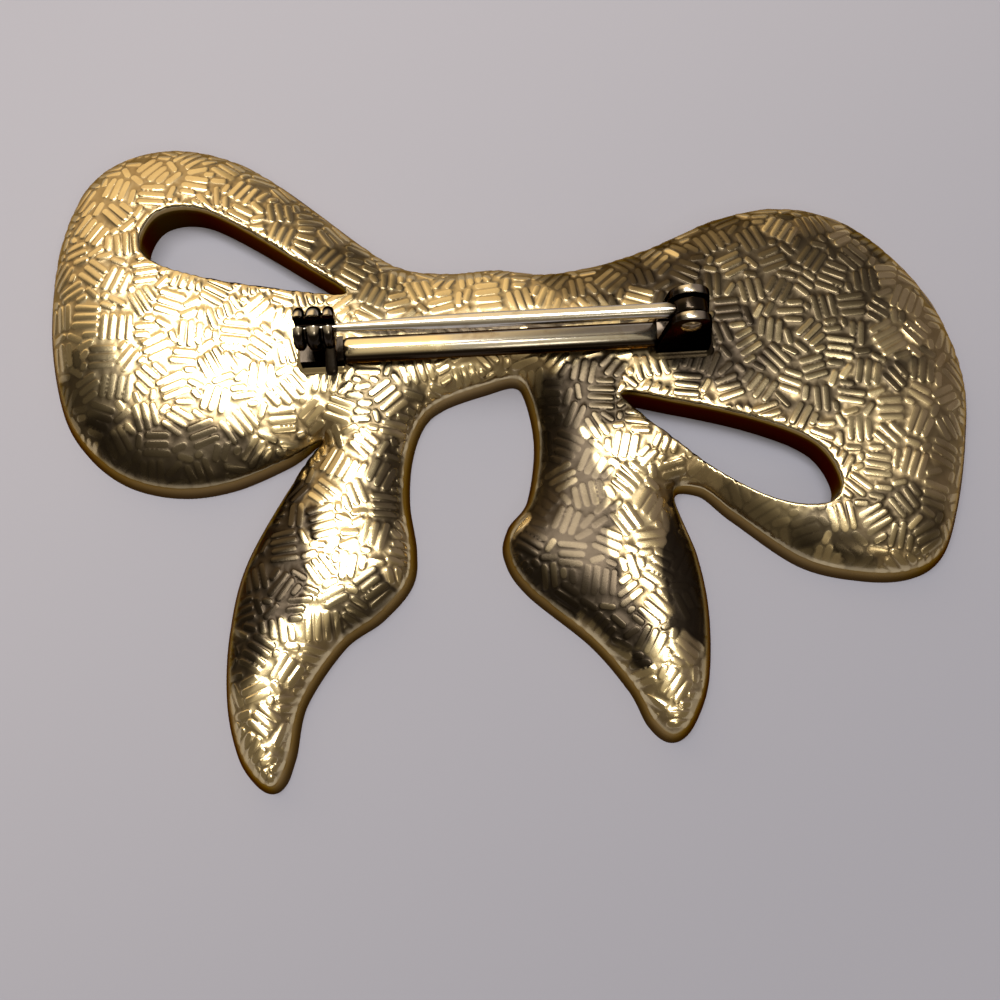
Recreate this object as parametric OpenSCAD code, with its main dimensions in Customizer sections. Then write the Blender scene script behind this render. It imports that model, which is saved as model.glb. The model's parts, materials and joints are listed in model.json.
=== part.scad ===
// Bow brooch lying face down, its back and pin upwards.
// X runs along the bow, Y from the tail tips to the loops, Z up from the surface it lies on.
// The origin is under the middle of the bow. Millimetres.

/* [Bow] */
// Width of the bow's back over both loops
bow_w = 70; // [54:1:90]
// Height of the bow's back, from the tail tips to the top of the loops
bow_h = 49.8; // [40:0.2:64]
// Height of the casting's side wall
edge_t = 1.5; // [1.2:0.1:3]
// How far the side wall spreads outwards, from the back down to the front
edge_draft = 0.55; // [0.2:0.05:0.9]
// How far the crowned back rises above its edge
crown = 2.5; // [1.8:0.1:3.2]
// Distance in from the edge over which the back turns level
crown_in = 1.8; // [1.4:0.1:3.6]
// Depth of the hollow front
hollow = 2.5; // [0.4:0.1:2.6]
// Distance in from its rim over which the hollow front turns level
hollow_in = 1.8; // [1.5:0.1:4]
// Width of the flat rim round the hollow front
rim_w = 0.7; // [0.4:0.1:1.5]

/* [Knot on the front] */
// Width of the knot along the bow
knot_w = 10; // [6:0.5:12]
// Height of the knot across the bow
knot_h = 8; // [6:0.5:9]
// How far the knot stands down from the level of the back's edge
knot_drop = 1.4; // [0.6:0.1:2.6]

/* [Pin back] */
// Distance from the hinge rivet to the middle of the catch
pin_span = 26.8; // [20:0.2:34]
// How far the pin back sits above the middle of the bow
pin_up = 7.3; // [6:0.1:9]
// How far the pin back sits to the right of the middle of the bow
pin_along = -0.2; // [-2:0.1:2]
// Turn of the pin back against the bow
pin_turn = 3.2; // [-4:0.2:6]
// Height of the pin stem's axis above the back
pin_rise = 5.4; // [4.8:0.1:7]
// Width of the base bar
bar_w = 1.9; // [1.4:0.1:2.4]
// Thickness of the base bar
bar_t = 1.1; // [0.8:0.1:1.5]
// Daylight between the back and the base bar
bar_lift = 0.6; // [0.3:0.1:1]

/* [Hinge] */
// Thickness of each hinge ear
ear_t = 0.6; // [0.4:0.05:0.9]
// Radius of an ear's round top
ear_r = 1.5; // [1.2:0.1:1.8]
// Length of an ear where it meets the base, and of the foot under it
ear_base = 4; // [3.4:0.1:5]
// Diameter of the hinge rivet
rivet_d = 0.9; // [0.6:0.05:1.2]
// Diameter of the rivet's peened heads
rivet_head_d = 1.5; // [1.3:0.1:2]

/* [Pin stem] */
// Diameter of the pin stem
stem_d = 1.1; // [0.8:0.05:1.3]
// Diameter of the stem where it lies in the catch
tip_d = 0.6; // [0.4:0.05:0.7]
// Length of the stem's taper, which ends at the catch
taper_len = 10; // [5:0.5:13]
// Thickness of the stem's eye
eye_t = 1.2; // [1:0.05:1.6]
// Radius of the stem's eye
eye_r = 1.25; // [1:0.05:1.5]

/* [Catch] */
// Length of the fixed ring that holds the turning lock
ring_len = 1.1; // [0.8:0.1:1.6]
// Outer radius of the fixed ring
ring_r = 1.6; // [1.4:0.05:1.9]
// Length of the foot under the catch
catch_foot = 3.2; // [2.4:0.1:4.4]
// Radius of the lock inside the ring
lock_r = 1.05; // [0.9:0.05:1.2]
// Radius of the lock's two end flanges
flange_r = 1.55; // [1.35:0.05:1.9]
// Thickness of each end flange
flange_t = 0.8; // [0.6:0.05:1.1]
// Reach of the lock's finger tab from the stem's axis
tab_reach = 3; // [2.4:0.1:3.6]
// How far below level the tab points at rest
tab_dip = 20; // [0:5:40]

/* [Clearances] */
// Running clearance round the rivet and round the lock
run_gap = 0.06; // [0.03:0.01:0.1]
// Gap beside a turning piece
side_gap = 0.1; // [0.06:0.02:0.2]
// Clearance between the stem's tip and the slot that it lies in
slot_gap = 0.12; // [0.08:0.02:0.2]

/* [Hidden] */

// The outline of the back, anticlockwise from the top of the neck.
// Each row is [along, up] in percent of the bow's width and height.
neck_top = [[54.4, 78.5], [49.2, 79.2], [43.6, 78.6]];
left_loop = [
    [38.9, 79.3], [34.8, 82.4], [24.1, 94.0], [17.9, 98.6], [11.7, 100], [6.0, 97.7], [2.3, 92.4],
    [0.2, 82.0], [0.2, 69.0], [2.2, 56.8], [5.3, 50.0], [9.6, 45.6], [15.0, 43.9], [20.5, 44.9],
    [26.3, 48.3], [30.4, 51.4]
];
left_tail = [
    [28.0, 46.2], [23.2, 32.7], [21.7, 22.0], [21.8, 12.0], [23.2, 4.5], [25.2, 0.7], [26.7, 0.3],
    [27.8, 4.1], [28.9, 12.0], [32.7, 20.4], [36.8, 24.9], [39.5, 29.6], [39.9, 34.5], [39.1, 42.0],
    [39.3, 48.9], [40.6, 54.6]
];
bridge = [[43.0, 57.8], [47.6, 60.3], [51.1, 61.4]];
right_tail = [
    [52.8, 58.7], [53.8, 51.0], [53.0, 42.2], [50.9, 37.6], [50.6, 33.6], [52.8, 28.7], [59.4, 21.0],
    [63.4, 14.3], [65.4, 9.2], [67.3, 7.3], [69.1, 9.6], [70.6, 15.5], [70.9, 25.0], [70.0, 33.5],
    [67.9, 43.0]
];
right_loop = [
    [71.0, 43.9], [74.8, 39.8], [81.6, 33.2], [88.0, 31.1], [93.0, 31.5], [96.2, 34.6], [98.2, 42.0],
    [99.6, 52.0], [100, 61.0], [98.2, 70.8], [94.6, 79.2], [88.6, 86.9], [81.5, 89.8], [74.0, 88.0],
    [66.2, 82.9], [60.3, 80.0]
];
// The openings in the loops, anticlockwise from their sharp ends
left_hole = [
    [32.8, 73.7], [26.8, 79.6], [19.0, 86.2], [14.8, 88.2], [11.3, 87.0], [9.8, 82.6], [11.2, 78.9],
    [16.8, 76.1], [26.2, 74.0]
];
right_hole = [
    [62.3, 57.4], [68.3, 50.0], [75.6, 43.3], [80.5, 40.6], [84.3, 40.9], [85.3, 44.4], [82.9, 49.8],
    [76.9, 53.5], [68.6, 56.3]
];

// Middle of the knot
knot_at = [-1.5, 9.6];

curve_steps = 3; // straight pieces between two points of an outline
facet = 1.3; // size of the crowned back's facets
front_facet = 2.1; // size of the plainer front's facets
far_out = 2 * facet; // the surfaces run on level beyond this distance from the edge
margin = 1.5; // how far the surfaces reach past the outline
sheet_foot = -3 * crown; // level that the solid under each surface starts at
edge_land = 0.2; // upright stretch of a wall under the back's edge
solder = 0.5; // how deep the soldered feet run into the casting
rivet_fit = 0.02; // gap between the rivet and the ears that hold it
head_h = 0.3; // height of a rivet head
root_len = 2.2; // length of the stem that narrows from its eye
point_r = 0.12; // radius of the stem's point
ear_lean = 12; // how far above its middle an ear's straight side leaves its round top, in degrees
bar_round = 0.55 * bar_w; // radius of the base bar's round top

function place(row) = [(row.x / 100 - 0.5) * bow_w, (row.y / 100 - 0.5) * bow_h];
function curve(a, b, c, d, t) =
    (2 * b + (c - a) * t + (2 * a - 5 * b + 4 * c - d) * t * t + (3 * b - a - 3 * c + d) * t * t * t) / 2;
// A closed smooth curve through the rows of a table
function ring(rows) =
    let (n = len(rows), p = [for (row = rows) place(row)])
    [for (i = [0 : n - 1], k = [0 : curve_steps - 1])
        curve(p[(i + n - 1) % n], p[i], p[(i + 1) % n], p[(i + 2) % n], k / curve_steps)];
// Each side of a ring as [start, end, length]
function sides(points) =
    let (n = len(points))
    [for (i = [0 : n - 1]) let (a = points[i], b = points[(i + 1) % n]) [a, b, norm(b - a)]];
function backwards(points) = [for (i = [len(points) - 1 : -1 : 0]) points[i]];

outline = ring(concat(neck_top, left_loop, left_tail, bridge, right_tail, right_loop));
openings = [ring(left_hole), ring(right_hole)];
edge = sides(outline);
walls = concat(edge, sides(backwards(openings[0])), sides(backwards(openings[1])));

// Smooth inset: 0 on every wall, the distance near a wall, and less between two walls.
// It is negative outside the outline, and in the openings where their walls are counted.
function seen_from(p, w) =
    let (u = w[0] - p, v = w[1] - p, c = cross(u, v), turn = atan2(c, u * v))
    [turn, c == 0 ? 0 : turn * w[2] / c];
function inset(p, walls) =
    let (sum = [for (w = walls) 1] * [for (w = walls) seen_from(p, w)])
    (sum[0] > 180 ? 1 : -1) * 180 / sum[1];
// A steep rise at the edge that turns level further in, and runs on downwards outside
function swell(d, high, reach) = high * (d > 0 ? 1 - exp(-d / reach) : max(d, -far_out) / reach);
// The crown is one form over each loop, and the openings are cut through it
function back_z(p) = edge_t + swell(inset(p, edge), crown, crown_in);
function front_z(p) = swell(inset(p, walls) - rim_w, hollow, hollow_in);

// The pin back's own frame: x along the stem from the catch to the hinge
hinge_x = pin_span / 2;
function on_bow(x, y = 0) =
    [pin_along + x * cos(pin_turn) - y * sin(pin_turn), pin_up + x * sin(pin_turn) + y * cos(pin_turn)];
// The highest level of the back under the bar, and the level that a foot at x runs down to
crest_z = max([for (k = [-4 : 4]) back_z(on_bow(k * hinge_x / 4))]);
function foot_z(x, size) =
    min([for (i = [-0.5, 0.5], j = [-0.5, 0.5]) back_z(on_bow(x + i * size.x, j * size.y))]) - solder;
stem_z = crest_z + pin_rise;
bar_z = crest_z + bar_lift;
bar_top = bar_z + bar_t;
ear_gap = eye_t + 2 * side_gap;
hinge_w = ear_gap + 2 * ear_t;
ring_bore = lock_r + run_gap;
slot_w = tip_d + 2 * slot_gap;
lock_len = ring_len + 2 * side_gap;
lock_half = lock_len / 2 + flange_t;

module at_pin() {
    translate([pin_along, pin_up, 0]) rotate([0, 0, pin_turn]) children();
}

// A block from z = low to z = high, with its middle at [x, 0]
module block(x, size, low, high) {
    translate([x - size.x / 2, -size.y / 2, low]) cube([size.x, size.y, high - low]);
}

module along_x() {
    rotate([0, 90, 0]) children();
}

// A ring moved outwards by the draft, or by less where two walls meet in a crotch
function spread(points, side) =
    let (n = len(points))
    [for (i = [0 : n - 1])
        let (along = points[(i + 1) % n] - points[(i + n - 1) % n])
        let (out = side * [along.y, -along.x] / norm(along))
        points[i] + out * max(min(-inset(points[i] + out * edge_draft, walls), edge_draft), 0)];

// A wall round a ring, upright from just under the back's edge and leaning outwards below that
module walled(points, level, side) {
    n = len(points);
    shoulder = level - edge_land;
    low = spread(points, side);
    polyhedron(concat(
        [for (p = low) [p.x, p.y, 0]],
        [for (p = points) [p.x, p.y, shoulder]],
        [for (p = points) [p.x, p.y, edge_t + 2 * crown]]
    ), concat(
        [[for (i = [0 : n - 1]) i]],
        [for (r = [0, n], i = [0 : n - 1]) let (k = (i + 1) % n) each
            [[r + i, r + n + i, r + n + k], [r + i, r + n + k, r + k]]],
        [[for (i = [n - 1 : -1 : 0]) 2 * n + i]]
    ));
}

// A solid from the level sheet_foot up to the heights over a grid of spots
module ground(spots, heights, n) {
    row = n.x + 1;
    count = len(spots);
    quads = [for (j = [0 : n.y - 1], i = [0 : n.x - 1]) j * row + i];
    border = concat(
        [for (i = [0 : n.x - 1]) [i, i + 1]],
        [for (j = [0 : n.y - 1]) [j * row + n.x, (j + 1) * row + n.x]],
        [for (i = [n.x : -1 : 1]) [n.y * row + i, n.y * row + i - 1]],
        [for (j = [n.y : -1 : 1]) [j * row, (j - 1) * row]]
    );
    polyhedron(concat(
        [for (k = [0 : count - 1]) [spots[k].x, spots[k].y, heights[k]]],
        [for (p = spots) [p.x, p.y, sheet_foot]]
    ), concat(
        [for (q = quads) each [[q, q + row, q + row + 1], [q, q + row + 1, q + 1]]],
        [for (q = quads) each [[q + count, q + row + 1 + count, q + row + count],
            [q + count, q + 1 + count, q + row + 1 + count]]],
        [for (e = border) each [[e[0], e[1], e[1] + count], [e[0], e[1] + count, e[0] + count]]]
    ));
}

// The grid covers the bow and a margin round it, in steps no longer than asked
field = [bow_w + 2 * margin, bow_h + 2 * margin];
function grid(step) = [ceil(field.x / step), ceil(field.y / step)];
function spots(n) =
    [for (j = [0 : n.y], i = [0 : n.x]) [field.x * (i / n.x - 0.5), field.y * (j / n.y - 0.5)]];

module crowned_back() {
    n = grid(facet);
    p = spots(n);
    ground(p, [for (q = p) back_z(q)], n);
}

// The space under the front, which a plain round knot bulges down into
module hollow_front() {
    n = grid(front_facet);
    p = spots(n);
    ceiling = max(front_z(knot_at), edge_t);
    difference() {
        ground(p, [for (q = p) front_z(q)], n);
        translate([knot_at.x, knot_at.y, ceiling])
            scale([knot_w / 2, knot_h / 2, ceiling - edge_t + knot_drop]) sphere(r = 1, $fn = 28);
    }
}

module casting() {
    resize([bow_w + 2 * edge_draft, bow_h + 2 * edge_draft, 0]) difference() {
        intersection() {
            difference() {
                walled(outline, edge_t, 1);
                for (hole = openings) walled(hole, min([for (p = hole) back_z(p)]), -1);
            }
            crowned_back();
        }
        hollow_front();
    }
}

module ear() {
    shoulder = [ear_r * cos(ear_lean), stem_z + ear_r * sin(ear_lean)];
    rotate([90, 0, 0]) linear_extrude(height = ear_t, center = true) {
        translate([0, stem_z]) circle(r = ear_r, $fn = 48);
        polygon([
            [-ear_base / 2, bar_z], [ear_base / 2, bar_z], [ear_base / 2, bar_top],
            shoulder, [-shoulder.x, shoulder.y], [-ear_base / 2, bar_top]
        ]);
    }
}

module hinge() {
    foot = [ear_base, hinge_w];
    translate([hinge_x, 0, 0]) difference() {
        for (side = [-1, 1]) translate([0, side * (ear_gap + ear_t) / 2, 0]) ear();
        translate([0, 0, stem_z]) rotate([90, 0, 0])
            cylinder(h = 2 * hinge_w, d = rivet_d + 2 * rivet_fit, center = true, $fn = 48);
    }
    block(hinge_x, foot, foot_z(hinge_x, foot), bar_top);
}

module catch_ring() {
    foot = [catch_foot, bar_w];
    translate([-hinge_x, 0, 0]) difference() {
        union() {
            translate([0, 0, stem_z]) along_x() cylinder(h = ring_len, r = ring_r, center = true, $fn = 64);
            block(0, [ring_len, bar_w], bar_z, stem_z - ring_bore);
        }
        translate([0, 0, stem_z]) along_x()
            cylinder(h = 2 * ring_len, r = ring_bore, center = true, $fn = 64);
        block(0, [2 * ring_len, slot_w], stem_z, stem_z + 2 * ring_r);
    }
    block(-hinge_x, foot, foot_z(-hinge_x, foot), bar_top);
}

module base_bar() {
    translate([-hinge_x, 0, bar_z]) rotate([90, 0, 90]) linear_extrude(height = pin_span) intersection() {
        translate([-bar_w / 2, 0]) square([bar_w, bar_t]);
        translate([0, bar_t - bar_round]) circle(r = bar_round, $fn = 48);
    }
}

module bow() {
    color("goldenrod") {
        casting();
        at_pin() {
            base_bar();
            hinge();
            catch_ring();
        }
    }
}

module hinge_rivet() {
    head = hinge_w / 2 + rivet_fit;
    color("darkgoldenrod") at_pin() translate([hinge_x, 0, stem_z]) rotate([90, 0, 0]) {
        cylinder(h = 2 * head, d = rivet_d, center = true, $fn = 48);
        for (side = [0, 1]) mirror([0, 0, side]) translate([0, 0, head])
            cylinder(h = head_h, d1 = rivet_head_d, d2 = rivet_d, $fn = 48);
    }
}

module pin_stem() {
    root = eye_r + root_len;
    catch_in = pin_span - lock_half;
    shaft = catch_in - taper_len;
    tip = pin_span + lock_half - flange_t / 2;
    color("silver") at_pin() translate([hinge_x, 0, stem_z]) difference() {
        union() {
            rotate([90, 0, 0]) cylinder(h = eye_t, r = eye_r, center = true, $fn = 48);
            rotate([0, -90, 0]) {
                cylinder(h = root, d1 = eye_t, d2 = stem_d, $fn = 32);
                translate([0, 0, root]) cylinder(h = shaft - root, d = stem_d, $fn = 32);
                translate([0, 0, shaft]) cylinder(h = taper_len, d1 = stem_d, d2 = tip_d, $fn = 32);
                translate([0, 0, catch_in]) cylinder(h = tip - catch_in, d1 = tip_d, r2 = point_r, $fn = 32);
                translate([0, 0, tip]) sphere(r = point_r, $fn = 24);
            }
        }
        rotate([90, 0, 0]) cylinder(h = 2 * eye_t, d = rivet_d + 2 * run_gap, center = true, $fn = 48);
    }
}

module catch_lock() {
    color("dimgray") at_pin() translate([-hinge_x, 0, stem_z]) {
        difference() {
            union() {
                along_x() cylinder(h = lock_len, r = lock_r, center = true, $fn = 64);
                for (side = [-1, 1]) translate([side * (lock_len + flange_t) / 2, 0, 0])
                    along_x() cylinder(h = flange_t, r = flange_r, center = true, $fn = 64);
                translate([(lock_len + flange_t) / 2, 0, 0]) rotate([tab_dip, 0, 0]) {
                    translate([0, -tab_reach / 2, 0]) cube([flange_t, tab_reach, flange_t], center = true);
                    translate([0, -tab_reach, 0]) along_x()
                        cylinder(h = flange_t, r = flange_t / 2, center = true, $fn = 32);
                }
            }
            along_x() cylinder(h = 4 * lock_half, d = slot_w, center = true, $fn = 32);
            block(0, [4 * lock_half, slot_w], 0, 2 * flange_r);
        }
    }
}

bow();
hinge_rivet();
pin_stem();
catch_lock();
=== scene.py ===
import json
import math
import random

import bmesh
import bpy
import numpy as np
from mathutils import Matrix, Vector
from mathutils.geometry import delaunay_2d_cdt


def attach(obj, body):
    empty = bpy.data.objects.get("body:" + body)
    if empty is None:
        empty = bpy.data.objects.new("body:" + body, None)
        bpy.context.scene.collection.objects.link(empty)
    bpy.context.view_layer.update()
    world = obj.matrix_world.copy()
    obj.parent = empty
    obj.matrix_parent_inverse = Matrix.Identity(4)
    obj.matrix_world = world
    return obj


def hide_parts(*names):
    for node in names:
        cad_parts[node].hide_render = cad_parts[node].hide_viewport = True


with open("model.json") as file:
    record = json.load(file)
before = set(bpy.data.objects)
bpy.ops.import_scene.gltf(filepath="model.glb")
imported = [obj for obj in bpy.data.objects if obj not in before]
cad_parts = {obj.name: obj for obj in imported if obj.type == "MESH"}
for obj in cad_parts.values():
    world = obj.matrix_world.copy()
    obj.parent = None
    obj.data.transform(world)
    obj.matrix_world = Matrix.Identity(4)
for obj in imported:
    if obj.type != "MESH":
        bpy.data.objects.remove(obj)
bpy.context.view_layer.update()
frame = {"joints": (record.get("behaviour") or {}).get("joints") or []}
mm = 0.001
# An oval fades between these shares of its half lengths
ovalStarts, ovalEnds = 0.75, 1.15


# A socket that takes part in sums
class Value:
    def __init__(self, mat, socket):
        self.mat, self.socket = mat, socket

    def calc(self, operation, first, second, clamp=False):
        return self.mat.node("ShaderNodeMath", {"operation": operation, "use_clamp": clamp},
                             {0: first, 1: second})

    def __add__(self, other): return self.calc("ADD", self, other)
    def __radd__(self, other): return self.calc("ADD", other, self)
    def __sub__(self, other): return self.calc("SUBTRACT", self, other)
    def __rsub__(self, other): return self.calc("SUBTRACT", other, self)
    def __mul__(self, other): return self.calc("MULTIPLY", self, other)
    def __rmul__(self, other): return self.calc("MULTIPLY", other, self)
    def __pow__(self, power): return self.calc("POWER", self, power)
    def clamped(self): return self.calc("ADD", self, 0.0, clamp=True)


class Finish:
    def __init__(self, name):
        self.begin(bpy.data.materials.new(name), "Principled BSDF", "Object")

    def begin(self, owner, shader, space):
        owner.use_nodes = True
        self.owner, self.tree = owner, owner.node_tree
        self.shader = self.tree.nodes[shader]
        self.place = self.node("ShaderNodeTexCoord", output=space)

    # Any node, with settings, inputs (values or sockets) and the output used
    def node(self, kind, settings=None, inputs=None, output=0):
        made = self.tree.nodes.new(kind)
        for key, value in (settings or {}).items():
            setattr(made, key, value)
        for key, value in (inputs or {}).items():
            self.put(made.inputs[key], value)
        return Value(self, made.outputs[output])

    def put(self, socket, value):
        if isinstance(value, Value):
            self.tree.links.new(value.socket, socket)
        else:
            socket.default_value = value

    def noise(self, scale, detail=3.0, roughness=0.55, stretch=None):
        where = self.place
        if stretch:
            where = self.node("ShaderNodeMapping", None, {"Vector": where, "Scale": stretch})
        return self.node("ShaderNodeTexNoise", None,
                         {"Vector": where, "Scale": scale, "Detail": detail, "Roughness": roughness})

    def between(self, value, low, high):
        return self.node("ShaderNodeMapRange", {"clamp": True, "interpolation_type": "SMOOTHSTEP"},
                         {"Value": value, "From Min": low, "From Max": high, "To Min": 0.0, "To Max": 1.0})

    def axis(self, vector, number):
        return self.node("ShaderNodeSeparateXYZ", None, {"Vector": vector}, number)

    def mask(self, name):
        return self.node("ShaderNodeAttribute", {"attribute_name": name}, output="Fac")

    # Sockets 6 and 7 and output 2 of this node are its colours
    def mix(self, share, first, second):
        first, second = [shade if isinstance(shade, Value) else (*shade, 1) for shade in (first, second)]
        return self.node("ShaderNodeMix", {"data_type": "RGBA"}, {0: share, 6: first, 7: second}, 2)

    # 1 inside an oval given in mm and 0 outside it; loose moves its border in and out
    def oval(self, at, reach, turn, loose):
        local = self.node("ShaderNodeMapping", {"vector_type": "TEXTURE"}, {
            "Vector": self.place, "Location": (at[0] * mm, at[1] * mm, 0),
            "Rotation": (0, 0, math.radians(turn)), "Scale": (reach[0] * mm, reach[1] * mm, 1)})
        far = self.node("ShaderNodeVectorMath", {"operation": "LENGTH"}, {0: local}, "Value")
        return self.between(far + loose, ovalEnds, ovalStarts)

    def bump(self, height, distance, strength):
        return self.node("ShaderNodeBump", None,
                         {"Height": height, "Distance": distance, "Strength": strength})

    def feed(self, **sockets):
        for key, value in sockets.items():
            self.put(self.shader.inputs[key.replace("_", " ")], value)
        return self.owner


# The cast bow, in mm
bowForm = {
    "width": 70.0, "height": 49.8,
    "edgeHeight": 1.5, "edgeSpread": 0.55, "openingSpread": 0.1, "edgeRound": 0.12,
    "crown": 2.5, "crownIn": 1.8, "hollow": 2.5, "hollowIn": 1.8, "frontRim": 0.7,
    "hollowTurn": 0.12, "hollowLift": 0.05,
    "knotAt": (-1.5, 9.6), "knotSize": (10.0, 8.0), "knotDrop": 1.4,
}
# Down the side wall: share of the spread, share of the height, share of the ribs' ripple
wallRows = [
    (0.03, 0.93, 0.6), (0.15, 0.78, 0.15), (0.42, 0.48, 0.0), (0.72, 0.2, 0.0), (0.93, 0.045, 0.0),
    (0.985, 0.012, 0.0), (0.92, 0.0, 0.0),
]
# How fine the mesh is: curve steps, rows of points inside the edge, loose points between, in mm
bowMesh = {
    "outlineSteps": 14, "insetSteps": 5, "bands": (0.035, 0.08, 0.14, 0.32), "bandClear": 0.85,
    "ribsIn": 0.17, "backStep": 0.55, "backIn": 0.4, "besideRibs": 1.2, "betweenRibs": 1.25,
    "rimBand": 0.05, "rimBandIn": 0.03, "rimClear": 0.6, "frontStep": 0.9, "frontIn": 0.25,
    "wobble": 0.05, "rowShare": 0.866,
}
# Plan in percent of width and height, anticlockwise from the top of the neck
outlineRows = [
    (54.4, 78.5), (49.2, 79.2), (43.6, 78.6), (38.9, 79.3), (34.8, 82.4), (24.1, 94.0), (17.9, 98.6),
    (11.7, 100), (6.0, 97.7), (2.3, 92.4), (0.2, 82.0), (0.2, 69.0), (2.2, 56.8), (5.3, 50.0),
    (9.6, 45.6), (15.0, 43.9), (20.5, 44.9), (26.3, 48.3), (30.4, 51.4), (28.0, 46.2), (23.2, 32.7),
    (21.7, 22.0), (21.8, 12.0), (23.2, 4.5), (25.2, 0.7), (26.7, 0.3), (27.8, 4.1), (28.9, 12.0),
    (32.7, 20.4), (36.8, 24.9), (39.5, 29.6), (39.9, 34.5), (39.1, 42.0), (39.3, 48.9), (40.6, 54.6),
    (43.0, 57.8), (47.6, 60.3), (51.1, 61.4), (52.8, 58.7), (53.8, 51.0), (53.0, 42.2), (50.9, 37.6),
    (50.6, 33.6), (52.8, 28.7), (59.4, 21.0), (63.4, 14.3), (65.4, 9.2), (67.3, 7.3), (69.1, 9.6),
    (70.6, 15.5), (70.9, 25.0), (70.0, 33.5), (67.9, 43.0), (71.0, 43.9), (74.8, 39.8), (81.6, 33.2),
    (88.0, 31.1), (93.0, 31.5), (96.2, 34.6), (98.2, 42.0), (99.6, 52.0), (100, 61.0), (98.2, 70.8),
    (94.6, 79.2), (88.6, 86.9), (81.5, 89.8), (74.0, 88.0), (66.2, 82.9), (60.3, 80.0),
]
holeRows = [
    [(32.8, 73.7), (26.8, 79.6), (19.0, 86.2), (14.8, 88.2), (11.3, 87.0), (9.8, 82.6), (11.2, 78.9),
     (16.8, 76.1), (26.2, 74.0)],
    [(62.3, 57.4), (68.3, 50.0), (75.6, 43.3), (80.5, 40.6), (84.3, 40.9), (85.3, 44.4), (82.9, 49.8),
     (76.9, 53.5), (68.6, 56.3)],
]


def smoothRing(rows, steps):
    p = (np.array(rows) / 100 - 0.5) * [bowForm["width"], bowForm["height"]]
    a, b, c, d = np.roll(p, 1, 0), p, np.roll(p, -1, 0), np.roll(p, -2, 0)
    points = []
    for k in range(steps):
        t = k / steps
        points.append((2 * b + (c - a) * t + (2 * a - 5 * b + 4 * c - d) * t ** 2
                       + (3 * b - a - 3 * c + d) * t ** 3) / 2)
    return np.stack(points, 1).reshape(-1, 2)


outlineRing = smoothRing(outlineRows, bowMesh["outlineSteps"])
holeRings = [smoothRing(rows, bowMesh["outlineSteps"]) for rows in holeRows]


# The walls of closed rings as starts, ends and lengths
def wallsOf(rings):
    starts = np.concatenate(rings)
    ends = np.concatenate([np.roll(ring, -1, 0) for ring in rings])
    return starts, ends, np.linalg.norm(ends - starts, axis=1)


coarse = [smoothRing(rows, bowMesh["insetSteps"]) for rows in [outlineRows] + holeRows]
edgeWalls = wallsOf(coarse[:1])
allWalls = wallsOf(coarse[:1] + [ring[::-1] for ring in coarse[1:]])


# Distance in from the wall near it, and less between two walls; negative outside
def insetAt(points, walls=allWalls, batch=2000):
    points = np.atleast_2d(points)
    starts, ends, lengths = walls
    result = np.zeros(len(points))
    for first in range(0, len(points), batch):
        p = points[first:first + batch, None]
        u, v = starts - p, ends - p
        cross = u[..., 0] * v[..., 1] - u[..., 1] * v[..., 0]
        turn = np.arctan2(cross, (u * v).sum(2))
        onLine = np.abs(cross) < 1e-9
        total = np.where(onLine, 0, turn * lengths / np.where(onLine, 1, cross)).sum(1)
        result[first:first + batch] = np.where(turn.sum(1) > math.pi, 1, -1) * math.pi / total
    return result


# A steep rise at the edge that turns level further in
def swell(inset, high, reach):
    return high * (1 - np.exp(-np.maximum(inset, 0) / reach))


# The crown is one form over each loop, and the openings are cut through it
def backHeight(points, inset=None):
    f = bowForm
    near = np.clip(1 - (insetAt(points) if inset is None else inset) / f["edgeRound"], 0, 1)
    crowned = swell(insetAt(points, edgeWalls), f["crown"], f["crownIn"])
    return f["edgeHeight"] + crowned - f["edgeRound"] * (1 - np.sqrt(1 - near ** 2))


# A flat rim, a soft turn into the hollow, and the knot that hangs down in it
def frontHeight(points, inset):
    f = bowForm
    t = inset - f["frontRim"]
    deep = swell(0.5 * (t + np.sqrt(t * t + f["hollowTurn"])), f["hollow"], f["hollowIn"])
    height = np.where(inset > bowMesh["rimBand"], np.maximum(deep - f["hollowLift"], 0), 0)
    ceiling = swell(insetAt([f["knotAt"]]) - f["frontRim"], f["hollow"], f["hollowIn"])[0]
    ceiling = max(ceiling, f["edgeHeight"])
    across = (np.asarray(points) - f["knotAt"]) / np.array(f["knotSize"]) * 2
    far = (across ** 2).sum(1)
    knot = ceiling - (ceiling - f["edgeHeight"] + f["knotDrop"]) * np.sqrt(np.clip(1 - far, 0, 1))
    return np.where(far < 1, np.minimum(height, knot), height)


def outward(ring, side):
    along = np.roll(ring, -1, 0) - np.roll(ring, 1, 0)
    return side * np.stack([along[:, 1], -along[:, 0]], 1) / np.linalg.norm(along, axis=1)[:, None]


# Each number with the one after it, round a closed ring
def around(count):
    return [(k, (k + 1) % count) for k in range(count)]


print("plan of the bow:", len(outlineRing), "points")

# The raised weave: groups of short parallel ribs, each group turned against its neighbours
weave = {
    "seed": 11, "groupGap": 1.95, "ribLong": 2.1, "ribWide": 0.56, "pitch": 0.66,
    "high": 0.034, "highAtEdge": 0.075, "slantAlong": 0.015, "slantAcross": 0.045, "slantMost": 0.14,
    "clear": 0.575, "shortest": 0.62, "pastEdge": 0.25, "fillStep": 0.3, "fillLong": 0.75,
    "tries": 20000, "turnTries": 10, "fillTries": 9, "neighbours": 3.0, "ribsInGroup": [3, 3, 3, 4],
    "pitchVaries": (0.97, 1.05), "lengthVaries": (0.9, 1.1), "turnVaries": 2,
    "levels": [(1.0, 7), (0.84, 7), (0.55, 4)], "pointStep": 0.32, "flatTop": 5,
    "highUntil": 1.4, "sinkFrom": 0.25, "sinkTo": 0.45, "overEdge": 0.75, "rimWear": 0.2,
    "wornCrest": 0.9, "wornShare": 0.8,
}
chance = random.Random(weave["seed"])


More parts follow.
